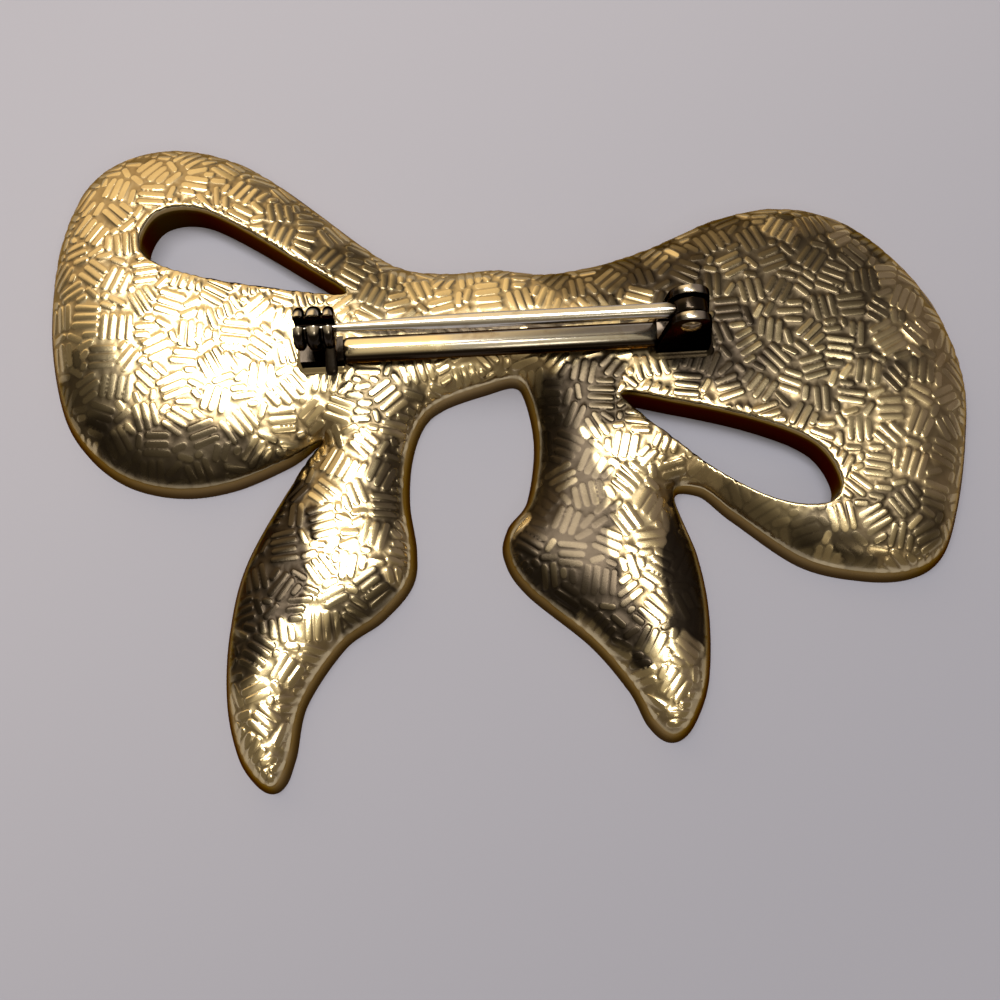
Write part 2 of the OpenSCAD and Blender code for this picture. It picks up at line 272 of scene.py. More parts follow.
def turnBetween(a, b):
    return abs((a - b + math.pi / 2) % math.pi - math.pi / 2)


# The ribs laid so far, as segments, and the group that each belongs to
class RibField:
    window, farAway = 3.5, 9.0

    def __init__(self):
        self.starts, self.ends, self.owner = np.zeros((0, 2)), np.zeros((0, 2)), np.zeros(0, int)

    def gaps(self, points, middle=None, besides=-1):
        near = self.owner != besides
        if middle is not None:
            near &= np.abs((self.starts + self.ends) / 2 - middle).max(1) < self.window
        if not near.any():
            return np.full(len(points), self.farAway)
        s, d = self.starts[near], self.ends[near] - self.starts[near]
        share = np.clip(((points[:, None] - s) * d).sum(2) / np.maximum((d * d).sum(1), 1e-9), 0, 1)
        return np.linalg.norm(points[:, None] - s - share[..., None] * d, axis=2).min(1)

    # The longest stretch of a wished rib that keeps clear of the others and of the bow's edge
    def stretch(self, middle, angle, reach, owner):
        line = middle + np.array([math.cos(angle), math.sin(angle)]) * np.linspace(-reach, reach, 25)[:, None]
        free = (insetAt(line) > -weave["pastEdge"]) & (self.gaps(line, middle, owner) > weave["clear"])
        best, start = (0, 0), None
        for i, good in enumerate([*free, False]):
            if good and start is None:
                start = i
            elif not good and start is not None:
                best = max(best, (start, i), key=lambda run: run[1] - run[0])
                start = None
        if best[1] - best[0] < 2:
            return None
        a, b = line[best[0]], line[best[1] - 1]
        return (a, b) if math.dist(a, b) + weave["ribWide"] >= weave["shortest"] else None

    def add(self, rib, owner):
        self.starts, self.ends = np.vstack([self.starts, rib[0]]), np.vstack([self.ends, rib[1]])
        self.owner = np.append(self.owner, owner)


def layGroups(field):
    past = 0.5
    half = (bowForm["width"] / 2 + past, bowForm["height"] / 2 + past)
    tries = np.array([(chance.uniform(-half[0], half[0]), chance.uniform(-half[1], half[1]))
                      for _ in range(weave["tries"])])
    spots, angles = np.zeros((0, 2)), []
    for p in tries[insetAt(tries) > -past]:
        if len(spots) and ((spots - p) ** 2).sum(1).min() < weave["groupGap"] ** 2:
            continue
        near = [angles[i] for i in np.flatnonzero(((spots - p) ** 2).sum(1) < weave["neighbours"] ** 2)]
        best = max([chance.uniform(0, math.pi) for _ in range(weave["turnTries"])],
                   key=lambda a: min([turnBetween(a, b) for b in near], default=1))
        spots, angles = np.vstack([spots, p]), angles + [best]
    for number, (p, angle) in enumerate(zip(spots, angles)):
        across = np.array([-math.sin(angle), math.cos(angle)])
        count = chance.choice(weave["ribsInGroup"])
        for k in range(count):
            aside = across * (k - (count - 1) / 2) * weave["pitch"]
            middle = p + aside * chance.uniform(*weave["pitchVaries"])
            reach = weave["ribLong"] / 2 * chance.uniform(*weave["lengthVaries"]) - weave["ribWide"] / 2
            turn = angle + math.radians(chance.gauss(0, weave["turnVaries"]))
            rib = field.stretch(middle, turn, reach, number)
            if rib:
                field.add(rib, number)


# Bare spots between the groups get short ribs that lie the way they fit best, each a group of its own
firstFill = 10000


def fillBare(field):
    step = weave["fillStep"]
    wide, high = bowForm["width"] / 2, bowForm["height"] / 2
    spots = np.array([(x, y) for x in np.arange(-wide, wide, step) for y in np.arange(-high, high, step)])
    spots = spots[insetAt(spots) > 0.05]
    spots = spots[np.concatenate([field.gaps(part) for part in np.array_split(spots, 40)]) > weave["clear"]]
    for number, p in enumerate(spots):
        if field.gaps(p[None], p)[0] <= weave["clear"]:
            continue
        wishes = [field.stretch(p, chance.uniform(0, math.pi), weave["fillLong"], -1)
                  for _ in range(weave["fillTries"])]
        wishes = [rib for rib in wishes if rib]
        if wishes:
            field.add(max(wishes, key=lambda rib: math.dist(*rib)), firstFill + number)


ribField = RibField()
layGroups(ribField)
laid = len(ribField.owner)
fillBare(ribField)
ribStart, ribEnd = ribField.starts, ribField.ends
print("weave:", laid, "ribs in groups,", len(ribStart) - laid, "between them")


# Ovals in which the ribs are worn down: middle and half lengths in mm, turn in degrees, share of wear
faintRibs = [
    ((20.6, -5.8), (8.5, 2.6), -33, 0.85), ((4.2, -3.0), (10.0, 3.4), -77, 0.75),
    ((13.3, -10.4), (7.0, 2.0), 95, 0.7), ((-31.0, 3.4), (3.4, 6.0), 12, 0.6),
    ((-24.0, -2.2), (9.5, 2.4), -4, 0.6), ((-0.2, 9.2), (14.5, 1.5), 3.2, 0.8),
]


# Each group of ribs was cut with its own slant, so whole groups catch the light together
def slantOf(owner):
    wobble = random.Random(int(owner) * 7 + 1)
    return wobble.gauss(0, weave["slantAlong"]), wobble.gauss(0, weave["slantAcross"])


ribSlant = np.clip([slantOf(owner) for owner in ribField.owner], -weave["slantMost"], weave["slantMost"])
ribLot = np.array([random.Random(int(owner) * 5 + 2).random() for owner in ribField.owner])


def ribShare(points, batch=3000):
    parts = np.array_split(points, 1 + len(points) // batch)
    return np.concatenate([ribField.gaps(part) for part in parts]) / (weave["ribWide"] / 2)


# Each point's distance from its rib's middle line in half widths, the rib's slant there, and its lot
def ribRelief(points, batch=1500):
    shares, lifts, lots = [], [], []
    for part in np.array_split(points, 1 + len(points) // batch):
        s, d = ribStart, ribEnd - ribStart
        long = np.maximum(np.linalg.norm(d, axis=1), 1e-6)
        along = d / long[:, None]
        off = part[:, None] - s
        u = (off * along).sum(2)
        near = np.linalg.norm(off - (np.clip(u, 0, long)[..., None] * along), axis=2)
        best = near.argmin(1)
        row = np.arange(len(part))
        v = off[row, best, 1] * along[best, 0] - off[row, best, 0] * along[best, 1]
        shares.append(near[row, best] / (weave["ribWide"] / 2))
        lifts.append(ribSlant[best, 0] * (u[row, best] - long[best] / 2) + ribSlant[best, 1] * v)
        lots.append(ribLot[best])
    return np.concatenate(shares), np.concatenate(lifts), np.concatenate(lots)


def ribProfile(share):
    return 1 - np.clip(share, 0, 1) ** weave["flatTop"]


# Rings of points round each rib, in the levels' shares of its half width
def ribPoints():
    radius = weave["ribWide"] / 2
    made = []
    for a, b in zip(ribStart, ribEnd):
        long = math.dist(a, b)
        along = (b - a) / long if long > 1e-6 else np.array([1.0, 0.0])
        across = np.array([-along[1], along[0]])
        steps = max(2, int(round(long / weave["pointStep"])))
        for share, arc in weave["levels"]:
            r = radius * share
            for k in range(1, steps):
                for side in (-1, 1):
                    made.append(a + along * long * k / steps + across * side * r)
            for k in range(arc):
                angle = math.pi * (k / (arc - 1) - 0.5)
                made.append(b + along * r * math.cos(angle) + across * r * math.sin(angle))
                made.append(a - along * r * math.cos(angle) + across * r * math.sin(angle))
        made += [a + along * long * k / steps for k in range(steps + 1)]
    return np.array(made)


def addToScene(name, data):
    made = bpy.data.objects.new(name, data)
    bpy.context.scene.collection.objects.link(made)
    return made


def dress(mesh, material, masks):
    mesh.polygons.foreach_set("use_smooth", [True] * len(mesh.polygons))
    mesh.materials.append(material)
    for key, values in masks.items():
        layer = mesh.attributes.new(key, "FLOAT", "POINT")
        layer.data.foreach_set("value", np.asarray(values, np.float32))


def makePiece(name, verts, faces, material, masks):
    mesh = bpy.data.meshes.new(name)
    mesh.from_pydata([tuple(v) for v in np.asarray(verts) * mm], [], faces)
    mesh.validate()
    dress(mesh, material, masks)
    return addToScene(name, mesh)


# Loose points in staggered rows over the whole plan
def lattice(step, seed):
    wobble, off, rowShare = random.Random(seed), bowMesh["wobble"], bowMesh["rowShare"]
    wide, high = bowForm["width"] / 2, bowForm["height"] / 2
    rows = []
    for j in range(int(2 * high / (step * rowShare)) + 1):
        for i in range(int(2 * wide / step) + 1):
            rows.append((-wide + (i + 0.5 * (j % 2)) * step + wobble.uniform(-off, off) * step,
                         -high + j * step * rowShare + wobble.uniform(-off, off) * step))
    return np.array(rows)


# Share of wear at each point, from ovals like those of the finish
def wearAt(points):
    share = np.zeros(len(points))
    for at, reach, turn, depth in faintRibs:
        a = math.radians(turn)
        off = points - at
        along = (off[:, 0] * math.cos(a) + off[:, 1] * math.sin(a)) / reach[0]
        across = (off[:, 1] * math.cos(a) - off[:, 0] * math.sin(a)) / reach[1]
        t = np.clip((ovalEnds - np.hypot(along, across)) / (ovalEnds - ovalStarts), 0, 1)
        share = np.maximum(share, depth * t * t * (3 - 2 * t))
    return share


# Triangles inside the first ring and outside the others; the rings' points come first. Triangles in an
# opening or outside have corners on the rings alone, so only those are tested
def sheetFaces(points, sizes):
    edges, first, rings = [], 0, []
    for size in sizes:
        edges += [(first + i, first + k) for i, k in around(size)]
        rings.append(points[first:first + size])
        first += size
    out = delaunay_2d_cdt([Vector(p) for p in points], edges, [], 0, 1e-7)
    place, faces = np.array([tuple(v) for v in out[0]]), np.array([tuple(f) for f in out[2]])
    doubtful = np.flatnonzero((faces < first).all(1))
    walls = wallsOf([rings[0]] + [ring[::-1] for ring in rings[1:]])
    outside = insetAt(place[faces[doubtful]].mean(1), walls) < 0
    return place, np.delete(faces, doubtful[outside], 0)


print("helpers ready")

# Painted shade where the gold reflects the dark room or lies in shadow, as under the bar and round the hinge:
# middle and half lengths in mm, turn in degrees, depth
paintedShade = [
    ((-31.5, 3.0), (3.2, 5.0), 12, 0.85), ((-24.0, -1.4), (9.5, 3.2), -4, 0.95),
    ((-9.0, 3.4), (3.2, 2.2), 20, 0.65), ((-16.9, -8.8), (7.6, 3.0), 80, 1.0),
    ((-18.9, -14.5), (3.4, 1.6), 84, 0.9), ((-8.8, -3.6), (5.6, 1.3), 90, 0.85),
    ((-10.6, -12.2), (3.6, 1.4), 40, 0.85), ((4.5, -4.4), (8.8, 3.3), -79, 1.0),
    ((7.2, -11.6), (6.2, 2.3), -54, 1.0), ((4.2, 2.6), (3.6, 3.0), -60, 0.8),
    ((13.3, -10.4), (7.0, 2.0), 95, 1.0), ((19.6, 10.9), (12.0, 9.2), -8, 0.90),
    ((15.4, 7.4), (4.0, 3.8), 0, 1.0), ((9.5, 13.2), (7.0, 2.4), 8, 0.8),
    ((27.5, -6.0), (6.0, 2.6), 8, 0.8), ((20.6, -5.6), (6.5, 2.2), -32, 0.7),
    ((28.8, 0.6), (4.2, 5.5), 0, 0.42), ((-10.5, 12.6), (5.5, 1.9), -38, 0.65),
    ((-15.4, 17.0), (4.0, 1.9), -38, 0.35), ((-0.2, 9.4), (14.5, 0.8), 3.2, 1.0),
    ((6.7, 3.4), (3.0, 3.4), 20, 0.97), ((2.7, -9.4), (4.2, 2.8), -45, 1.0),
    ((-13.4, -2.0), (1.8, 2.6), 0, 0.5),
]
# Painted highlight where the gold reflects the lamps, clearing grime, brown and groove tone: middle and half
# lengths in mm, turn in degrees, share
paintedHighlight = [
    ((-20.5, 7.6), (8.5, 4.6), -8, 1.0), ((-12.7, -7.2), (6.8, 1.8), 78, 0.9),
    ((-15.6, -15.5), (6.0, 1.5), 62, 0.9), ((10.0, -5.0), (6.5, 1.8), -78, 0.8),
    ((11.6, -16.5), (4.6, 1.8), -72, 1.0), ((-17.2, -22.0), (2.6, 1.8), 90, 0.8),
    ((-2.5, 12.2), (7.5, 1.8), -5, 0.6), ((-3.0, 5.2), (4.5, 1.2), 8, 0.6),
]
goldLook = {
    "bright": (0.84, 0.705, 0.42), "dark": (0.40, 0.28, 0.14), "brown": (0.42, 0.25, 0.10),
    # the near-black tone after groove is the colour of the painted shade
    "grooveGrimeAndShade": (0.16, 0.10, 0.045), "inShade": (0.040, 0.031, 0.022), "atGrazing": (0.55, 0.38, 0.18),
    "wallFootShade": (0.075, 0.045, 0.020), "wallTopLit": (0.38, 0.26, 0.115), "wallFrom": 0.1, "wallTo": 1.35,
    "openingWallShade": (0.035, 0.025, 0.018),
    "grime": 0.6, "brownShare": 0.35, "grooveShare": 0.6, "ribGlintsInShade": 0.12,
    "smooth": 0.13, "grain": 0.00001, "grainShare": 0.35,
}


# Masks: crest on the ribs, edge at the rims, wall on the sides, lot for each group's own number
def agedGold(name, look):
    f = Finish(name)
    patches = f.between(f.noise(95.0, 4.0, 0.6), 0.36, 0.66)
    specks = f.between(f.noise(1100.0, 3.0, 0.6), 0.35, 0.75)
    crest, edge, wall = f.mask("crest"), f.mask("edge"), f.mask("wall")
    grime = ((0.55 * patches + 0.3 * specks) * look["grime"] * (1.0 - 0.85 * edge)).clamped()
    # painted shade ovals with borders along the groups, with painted glints left on some rib crests in them
    lot = f.mask("lot")
    loose = 0.5 * (lot - 0.5) + 0.5 * (f.noise(420.0, 2.0) - 0.5)
    unshaded = 1.0
    for at, reach, turn, depth in paintedShade:
        unshaded = unshaded * (1.0 - depth * f.oval(at, reach, turn, loose))
    # painted glints: the crests of some rib groups stay bright inside the painted shade
    ribs = f.between(crest, 0.6, 0.95) * (0.1 + 0.4 * lot * lot + 0.4 * f.between(lot, 0.88, 0.94))
    ribs = ribs * (look["ribGlintsInShade"] + (1.0 - look["ribGlintsInShade"]) * f.between(unshaded, 0.03, 0.18))
    inShade = ((1.0 - unshaded) * (1.0 - ribs) * (1.0 - 0.5 * edge)).clamped()
    # painted highlight ovals
    highlightShare = 0.0
    for at, reach, turn, share in paintedHighlight:
        highlightShare = highlightShare + share * f.oval(at, reach, turn, 0.4 * loose)
    highlightShare = highlightShare.clamped()
    # the grooves between ribs darken, partly grime and partly painted shade
    grooveGrimeAndShade = f.between(crest, 0.8, 0.2) * (1.0 - wall) * (1.0 - 0.6 * edge) * (1.0 - 0.6 * highlightShare)
    grooveGrimeAndShade = grooveGrimeAndShade.clamped()
    tone = f.mix(grime * (1.0 - 0.8 * highlightShare), look["bright"], look["dark"])
    brown = f.between(f.noise(260.0, 3.0), 0.55, 0.8) * look["brownShare"] * (1.0 - highlightShare)
    tone = f.mix(brown, tone, look["brown"])
    tone = f.mix(grooveGrimeAndShade * look["grooveShare"], tone, look["grooveGrimeAndShade"])
    tone = f.mix(inShade, tone, look["inShade"])
    # painted shade: the side wall darkens downwards towards the floor and is near black in the openings
    up = f.between(f.axis(f.place, 2), look["wallFrom"] * mm, look["wallTo"] * mm)
    rim = f.mix(up, look["wallFootShade"], look["wallTopLit"])
    tone = f.mix((f.between(wall, 0.0, 0.3) * (1.0 - 0.75 * edge)).clamped(), tone, rim)
    tone = f.mix(f.between(wall, 0.6, 0.95), tone, look["openingWallShade"])
    grain = f.noise(5200.0, 2.0)
    scratch = f.noise(1500.0, 2.0, 0.5, (0.25, 1.0, 1.0))
    rough = (look["smooth"] + 0.12 * grime + 0.06 * scratch + 0.15 * grooveGrimeAndShade + 0.08 * inShade).clamped()
    surface = f.bump(grain * 0.7 + scratch * 0.3, look["grain"], look["grainShare"])
    return f.feed(Base_Color=tone, Roughness=rough, Metallic=1.0, Normal=surface,
                  Specular_Tint=(*look["atGrazing"], 1.0))


# Bands paint light and shade by height: from, to in mm, colour; the bar's dark band is painted shade on its
# lower side and the catch's pale band a painted highlight on its top. Patches: middle, reach in mm, colour;
# the bar's pale patch is a painted highlight and the stem's dark patch painted shade by the hinge
wireLooks = {
    "barMetal": {
        "bright": (0.70, 0.66, 0.56), "dark": (0.42, 0.32, 0.19), "along": (0.12, 1.0, 1.0),
        "bands": [(5.36, 5.18, (0.05, 0.036, 0.024))],
        "patches": [((-9.0, 6.5), (5.0, 3.0), (1.0, 0.86, 0.56))]},
    "stemMetal": {
        "bright": (0.82, 0.78, 0.68), "dark": (0.50, 0.43, 0.31), "along": (0.1, 1.0, 1.0), "smooth": 0.14,
        "patches": [((14.4, 8.1), (3.1, 3.1), (0.035, 0.027, 0.02))]},
    # catchMetal's near-black base is painted shade for the dark room that the catch, roller and hinge ears
    # reflect
    "catchMetal": {
        "bright": (0.05, 0.040, 0.031), "dark": (0.015, 0.012, 0.010), "along": (1.0, 0.3, 1.0),
        "smooth": 0.12, "atGrazing": (0.25, 0.21, 0.18), "bands": [(10.35, 10.62, (0.75, 0.68, 0.55))]},
    "rivetMetal": {
        "bright": (0.38, 0.29, 0.18), "dark": (0.1, 0.07, 0.04), "along": (1.0, 1.0, 1.0)},
}


def wireMetal(name, bright, dark, along, smooth=0.16, atGrazing=(0.5, 0.4, 0.3), bands=(), patches=()):
    f = Finish(name)
    drawn = f.noise(900.0, 3.0, 0.6, along)
    spots = f.between(f.noise(420.0, 3.0, 0.6), 0.52, 0.74)
    tone = f.mix((spots * 0.8 * (1.0 - f.mask("edge"))).clamped(), bright, dark)
    # painted highlight and painted shade patches
    for at, reach, colour in patches:
        tone = f.mix(f.oval(at, reach, 0, 0.0), tone, colour)
    # painted highlight and painted shade bands by height
    height = f.axis(f.place, 2)
    for start, end, colour in bands:
        tone = f.mix(f.between(height, start * mm, end * mm), tone, colour)
    rough = smooth + 0.12 * spots + 0.07 * drawn
    return f.feed(Base_Color=tone, Roughness=rough, Metallic=1.0, Normal=f.bump(drawn, 0.000008, 0.4),
                  Specular_Tint=(*atGrazing, 1.0))


castGold = agedGold("castGold", goldLook)
barMetal, stemMetal, catchMetal, rivetMetal = [wireMetal(name, **look) for name, look in wireLooks.items()]
print("finishes made")

# A lot beyond every oval's border, so that the ovals of the back don't show on the front
beyondOvals = 10.0


# The edge, bands just inside it, the ribs, and a loose lattice between them
def backPoints(edge, out):
    m = bowMesh
    parts = [edge]
    for depth in m["bands"]:
        band = edge - out * depth
        good = insetAt(band) > m["bandClear"] * depth
        if depth == m["bands"][-1]:
            good &= (ribShare(band) > m["besideRibs"]) & (np.arange(len(edge)) % 2 == 0)
        parts.append(band[good])
    ribs = ribPoints()
    spare = lattice(m["backStep"], 3)
    spare = spare[insetAt(spare) > m["backIn"]]
    parts += [ribs[insetAt(ribs) > m["ribsIn"]], spare[ribShare(spare) > m["betweenRibs"]]]
    return np.concatenate(parts)


# The foot of the wall, the flat rim, the step into the hollow, and a loose lattice
def frontPoints(edge, out, foot):
    m, rim = bowMesh, bowForm["frontRim"]
    band, step, spare = edge - out * m["rimBand"], edge - out * rim, lattice(m["frontStep"], 5)
    return np.concatenate([
        foot, band[insetAt(band) > m["rimBandIn"]][::2], step[insetAt(step) > m["rimClear"] * rim][::2],
        spare[insetAt(spare) > m["frontIn"]]])


def makeBow():
    rings = [outlineRing] + holeRings
    sizes = [len(ring) for ring in rings]
    edge = np.concatenate(rings)
    out = np.concatenate([outward(outlineRing, 1)] + [outward(ring, -1) for ring in holeRings])
    count = len(edge)
    outer = np.arange(count) < sizes[0]
    spread = np.clip(-insetAt(edge + out * bowForm["edgeSpread"]), 0, bowForm["edgeSpread"])[:, None]
    spread[sizes[0]:] *= bowForm["openingSpread"]
    verts, masks = [], {"crest": [], "edge": [], "wall": [], "lot": []}

    def add(points, *shares):
        verts.append(points)
        for rows, share in zip(masks.values(), shares):
            rows.append(np.broadcast_to(share, len(points)))

    # back: the ribs stand higher near the edge, sink at the edge itself and bulge a little over it
    place, faces = sheetFaces(backPoints(edge, out), sizes)
    inset = insetAt(place)
    inset[:count] = 0
    share, slant, lot = ribRelief(place)
    crest, worn = ribProfile(share), wearAt(place)
    relief = weave["high"] + (weave["highAtEdge"] - weave["high"]) * np.clip(weave["highUntil"] - inset, 0, 1)
    sunk = np.clip(inset / weave["sinkFrom"], weave["sinkTo"], 1)
    high = backHeight(place, inset) + (relief + slant) * crest * (1 - worn) * sunk
    crest = crest + (weave["wornCrest"] - crest) * worn * weave["wornShare"]
    bulge = weave["highAtEdge"] * weave["overEdge"] * crest[:count, None]
    place[:count] += out * bulge
    add(np.column_stack([place, high]), crest, np.clip(1 - inset / weave["rimWear"], 0, 1), 0.0, lot)
    total = [tuple(f) for f in faces]
    made = len(place)

    # wall: leans out as it goes down, then turns under to the flat rim of the front
    base, starts = np.arange(count), np.cumsum([0] + sizes)
    following = np.concatenate([np.roll(base[start:start + n], -1) for start, n in zip(starts, sizes)])
    for shareOut, level, ripple in wallRows:
        ring = edge + out * spread * shareOut + out * bulge * ripple
        depth = 1 - level
        # the wall mask places the painted wall shade: half on the outer wall, full in the openings
        wall = np.where(outer, 0.5, 1.0) * (min(1, 4 * depth) if level else 0)
        add(np.column_stack([ring, high[:count] * level]), 0.15, max(0.0, 0.75 - 2.5 * depth), wall, 0.5)
        for i in range(count):
            k = following[i]
            quad = (base[i], made + i, made + k, base[k])
            total.append(quad if i < sizes[0] else quad[::-1])
        base = made + np.arange(count)
        made += count

    # front: starts from the wall's last ring instead of its own first points
    place, faces = sheetFaces(frontPoints(edge, out, edge + out * spread * wallRows[-1][0]), sizes)
    high = frontHeight(place, insetAt(place))
    add(np.column_stack([place, high])[count:], 0.0, 0.0, 0.0, beyondOvals)
    index = np.concatenate([base, made + np.arange(len(place) - count)])
    total += [tuple(index[i] for i in reversed(f)) for f in faces]
    total = [tuple(int(i) for i in f) for f in total]
    bow = makePiece("castBow", np.concatenate(verts), total, castGold,
                    {key: np.concatenate(rows) for key, rows in masks.items()})
    print("cast bow:", len(bow.data.vertices), "points", len(total), "faces")
    return bow


castBow = makeBow()
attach(castBow, "brooch")
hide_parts("bow")

# The pin back's own frame: x from the catch to the hinge, z up, half way between them on the floor
joints = {joint["name"]: joint for joint in frame["joints"]}
hingeAt = Vector(joints["stem_hinge"]["pos_m"]) / mm
catchAt = Vector(joints["lock_turn"]["pos_m"]) / mm
pinSpan = (hingeAt - catchAt).length
stemLevel = hingeAt.z
pinMiddle = (hingeAt + catchAt) / 2
pinTurn = math.atan2(hingeAt.y - catchAt.y, hingeAt.x - catchAt.x)
toBow = Matrix.Translation((pinMiddle.x, pinMiddle.y, 0)) @ Matrix.Rotation(pinTurn, 4, "Z")


def backUnder(x, y):
    p = toBow @ Vector((x, y, 0))
    return float(backHeight([(p.x, p.y)])[0])


pinBack = {
    "barWide": 1.9, "barThick": 1.1, "barLift": 0.6, "riseOverBack": 5.4, "barCrown": 0.55,
    "barRoundEnd": 0.45, "barEndWide": 0.5, "barEndThick": 0.45, "barUnderCatch": 0.05, "barUnderHinge": 0.3,
    "earThick": 0.6, "earRound": 1.5, "earFoot": 4.0, "earGap": 1.4, "earLean": 12, "intoBack": 0.3,
    "ringLong": 1.1, "ringOuter": 1.6, "ringRound": 0.5, "ringBore": 1.11, "ringSlot": 0.84,
    "catchFoot": 3.2, "catchFootDrop": 0.3, "neckIn": (0.06, 0.1), "neckUnder": 0.9,
    "solderCorner": 0.25,
    "solderRows": [(-0.2, 0.35), (0.02, 0.34), (0.14, 0.17), (0.32, 0.06), (0.55, -0.03)],
}
# Bends that get a bevel or stay sharp, in degrees, and the shortest edge kept, in mm
bevelFrom, sharpFrom, shortest = 38, 40, 0.0008
barLow = stemLevel - pinBack["riseOverBack"] + pinBack["barLift"]
barTop = barLow + pinBack["barThick"]
halfSpan = pinSpan / 2


def finishPiece(name, mesh, material, bevel=0.0, segments=2, where=toBow):
    piece = addToScene(name, mesh)
    if bevel:
        tool = piece.modifiers.new("soften", "BEVEL")
        tool.width, tool.segments = bevel, segments
        tool.limit_method, tool.angle_limit = "ANGLE", math.radians(bevelFrom)
        settle(piece)
    tidyMesh(piece.data)
    piece.data.transform(Matrix.Scale(mm, 4) @ where)
    piece.data.materials.clear()
    dress(piece.data, material, {"edge": cornerShare(piece.data)})
    piece.data.set_sharp_from_angle(angle=math.radians(sharpFrom))
    return piece


# No faces without area, and all of them facing outwards
def tidyMesh(mesh):
    bm = bmesh.new()
    bm.from_mesh(mesh)
    bmesh.ops.dissolve_degenerate(bm, edges=bm.edges, dist=shortest)
    bmesh.ops.recalc_face_normals(bm, faces=bm.faces)
    bm.to_mesh(mesh)
    bm.free()


# Worn edges, from bends of 0.35 radians up
def cornerShare(mesh):
    bm = bmesh.new()
    bm.from_mesh(mesh)
    shares = []
    for v in bm.verts:
        bends = [e.calc_face_angle(0) for e in v.link_edges]
        shares.append(min(1.0, max(0.0, (max(bends, default=0) - 0.35) / 0.7)))
    bm.free()
    return shares


def settle(piece):
    graph = bpy.context.evaluated_depsgraph_get()
    done = bpy.data.meshes.new_from_object(piece.evaluated_get(graph))
    piece.modifiers.clear()
    piece.data = done


def solid(build):
    bm = bmesh.new()
    build(bm)
    bmesh.ops.recalc_face_normals(bm, faces=bm.faces)
    mesh = bpy.data.meshes.new("part")
    bm.to_mesh(mesh)
    bm.free()
    return mesh


def combine(base, others, operation):
    piece = addToScene("work", base)
    helpers = []
    for mesh in others:
        helper = addToScene("helper", mesh)
        tool = piece.modifiers.new("join", "BOOLEAN")
        tool.operation, tool.object, tool.solver = operation, helper, "EXACT"
        helpers.append(helper)
    settle(piece)
    mesh = piece.data
    for helper in helpers + [piece]:
        bpy.data.objects.remove(helper)
    return mesh


# A profile of (radius, along) pairs turned about an axis: "X", "Y" or "Z"
def turned(profile, axis, sides, at=(0, 0, 0)):
    def build(bm):
        rows = []
        for radius, along in profile:
            if radius < 1e-6:
                rows.append([bm.verts.new((0, 0, along))])
            else:
                turns = [2 * math.pi * k / sides for k in range(sides)]
                rows.append([bm.verts.new((radius * math.cos(a), radius * math.sin(a), along))
                             for a in turns])
        for low, high in zip(rows, rows[1:]):
            for k, m in around(sides):
                loop = [low[k % len(low)], low[m % len(low)], high[m % len(high)], high[k % len(high)]]
                loop = list(dict.fromkeys(loop))
                if len(loop) > 2:
                    bm.faces.new(loop)
        for row, order in ((rows[0], 1), (rows[-1], -1)):
            if len(row) > 1:
                bm.faces.new(row[::order])
        turn = {"X": Matrix.Rotation(math.pi / 2, 4, "Y"), "Y": Matrix.Rotation(-math.pi / 2, 4, "X"),
                "Z": Matrix.Identity(4)}[axis]
        bmesh.ops.transform(bm, matrix=Matrix.Translation(at) @ turn, verts=bm.verts)
    return solid(build)


# The profile of a disc with rounded corners
def roundedDisc(radius, half, corner):
    rows, steps = [(0.0, -half)], 5
    for k in range(steps + 1):
        a = math.pi / 2 * k / steps
        rows.append((radius - corner + corner * math.sin(a), -half + corner - corner * math.cos(a)))
    for k in range(steps + 1):
        a = math.pi / 2 * k / steps
        rows.append((radius - corner + corner * math.cos(a), half - corner + corner * math.sin(a)))
    rows.append((0.0, half))
    return rows


def bore(radius, half, axis, sides, at=(0, 0, 0)):
    return turned([(radius, -half), (radius, half)], axis, sides, at)


# An outline in the XZ plane given a thickness along Y
def slab(points, low, high):
    def build(bm):
        front = [bm.verts.new((x, low, z)) for x, z in points]
        back = [bm.verts.new((x, high, z)) for x, z in points]
        bm.faces.new(front)
        bm.faces.new(back[::-1])
        for k, m in around(len(points)):
            bm.faces.new([front[m], front[k], back[k], back[m]])
    return solid(build)


def brick(lowCorner, highCorner):
    def build(bm):
        bmesh.ops.create_cube(bm, size=1)
        size = [h - l for l, h in zip(lowCorner, highCorner)]
        middle = [(h + l) / 2 for l, h in zip(lowCorner, highCorner)]
        place = Matrix.Translation(middle) @ Matrix.Diagonal((*size, 1))
        bmesh.ops.transform(bm, matrix=place, verts=bm.verts)
    return solid(build)


# A low collar of solder round a foot, feathered out over the crowned back
def solder(name, x, size, material):
    corner, rows, steps = pinBack["solderCorner"], pinBack["solderRows"], 6
    loop = []
    for cx, cy, start in ((1, 1, 0), (-1, 1, 90), (-1, -1, 180), (1, -1, 270)):
        for k in range(steps + 1):
            a = math.radians(start + 90 * k / steps)
            loop.append((cx * (size[0] / 2 - corner), cy * (size[1] / 2 - corner), math.cos(a), math.sin(a)))
    verts, faces = [], []
    for out, up in rows:
        for bx, by, dx, dy in loop:
            px, py = x + bx + dx * (corner + out), by + dy * (corner + out)
            q = toBow @ Vector((px, py, 0))
            verts.append((q.x, q.y, backUnder(px, py) + up))
    n = len(loop)
    for r in range(len(rows) - 1):
        for k, m in around(n):
            faces.append((r * n + k, (r + 1) * n + k, (r + 1) * n + m, r * n + m))
    faces.append(tuple(range(n)))
    faces.append(tuple((len(rows) - 1) * n + k for k in reversed(range(n))))
    masks = {"crest": [0.9] * len(verts), "edge": [0.0] * len(verts), "lot": [0.5] * len(verts)}
    return makePiece(name, verts, faces, material, masks)


# How deep a foot reaches, to stand in the crowned back all round
def footLow(x, long, wide):
    return min(backUnder(x + i * long, j * wide) for i in (-1, 1) for j in (-1, 1)) - pinBack["intoBack"]


